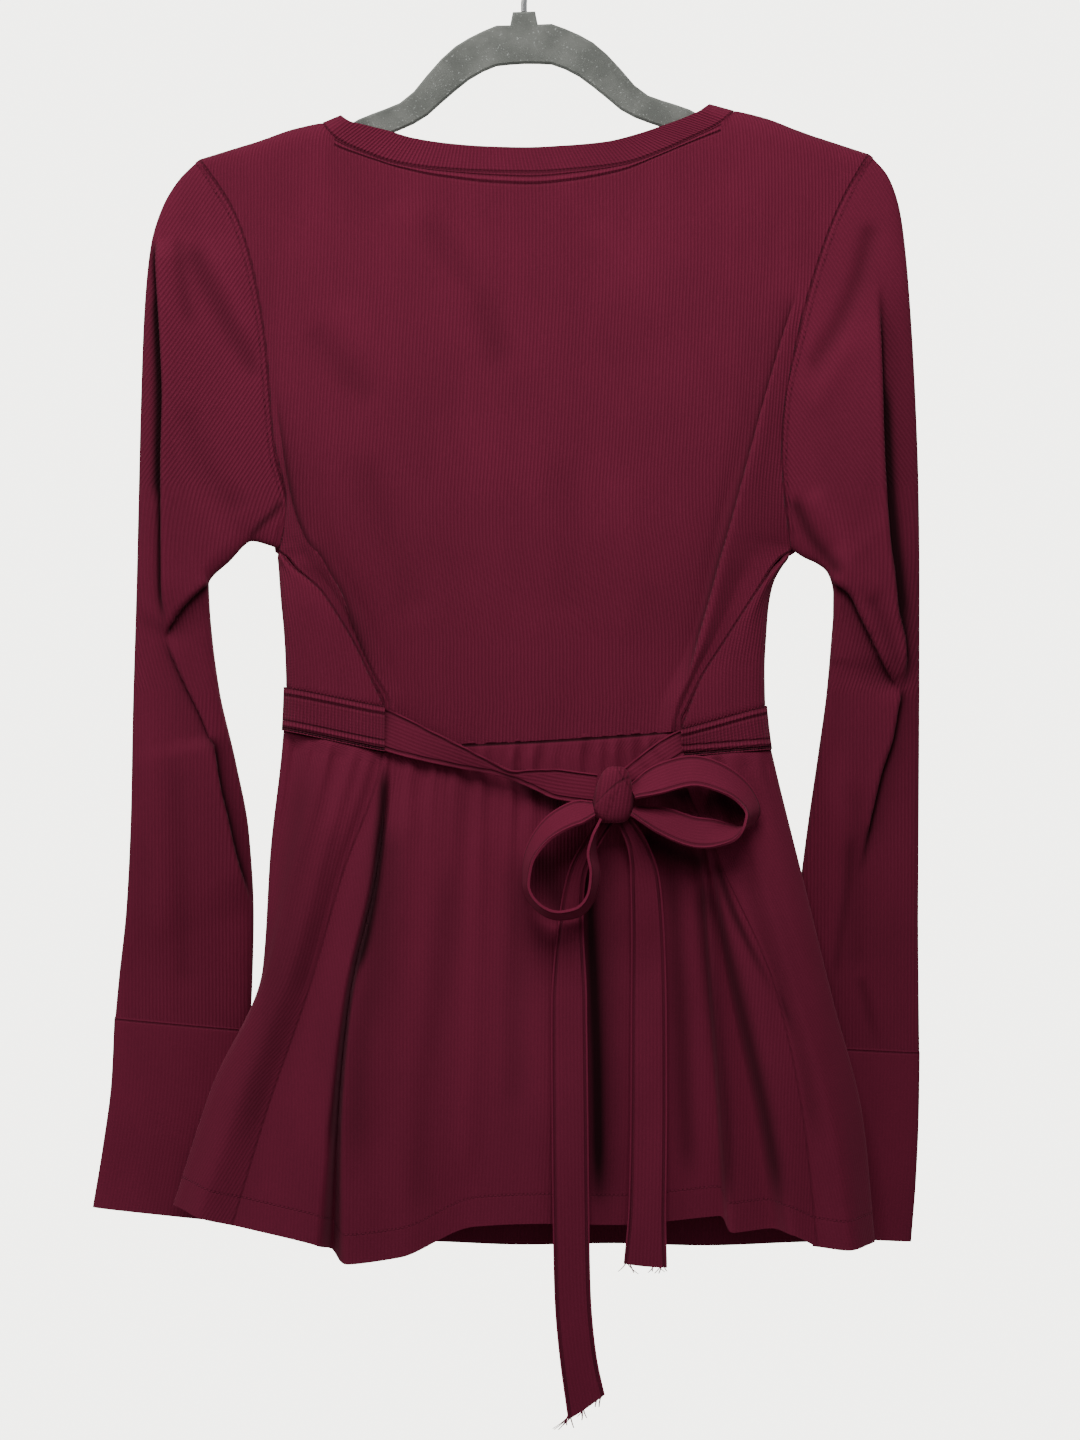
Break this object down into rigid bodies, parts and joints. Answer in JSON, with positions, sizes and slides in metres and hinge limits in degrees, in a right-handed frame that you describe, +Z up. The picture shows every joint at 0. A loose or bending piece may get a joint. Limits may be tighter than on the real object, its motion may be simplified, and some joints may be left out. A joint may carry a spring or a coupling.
{
  "type": "babydoll top on hanger",
  "caption": "Long-sleeved rib-knit babydoll top with gathered peplum, tie-back bow and deep cuffs, hung on a slim hanger by its hook.",
  "frame": {"origin": "inside top of the hanger's hook, where it rests on a rod", "axes": "+Z up; the side shown, the garment's back with its bow, faces -Y; +X to the right of somebody who looks at that side"},
  "size_m": [0.4846, 0.0813, 0.8864],
  "materials": {
    "rib_knit_burgundy": "matt fine rib knit",
    "hanger_velvet": "matt velvet flock over a stiff core",
    "hook_steel": "bright wire"
  },
  "bodies": {
    "root": {"back_bodice": "rib_knit_burgundy", "front_bodice": "rib_knit_burgundy", "neckband": "rib_knit_burgundy", "waistband": "rib_knit_burgundy", "back_skirt": "rib_knit_burgundy", "front_skirt": "rib_knit_burgundy", "sleeve_left": "rib_knit_burgundy", "sleeve_right": "rib_knit_burgundy", "cuff_left": "rib_knit_burgundy", "cuff_right": "rib_knit_burgundy", "tie_strap_left": "rib_knit_burgundy", "tie_strap_right": "rib_knit_burgundy", "bow_loop_left": "rib_knit_burgundy", "bow_loop_right": "rib_knit_burgundy", "tie_tail_long": "rib_knit_burgundy", "tie_tail_short": "rib_knit_burgundy", "bow_knot": "rib_knit_burgundy", "hanger_body": "hanger_velvet", "hanger_hook": "hook_steel"}
  },
  "joints": []
}
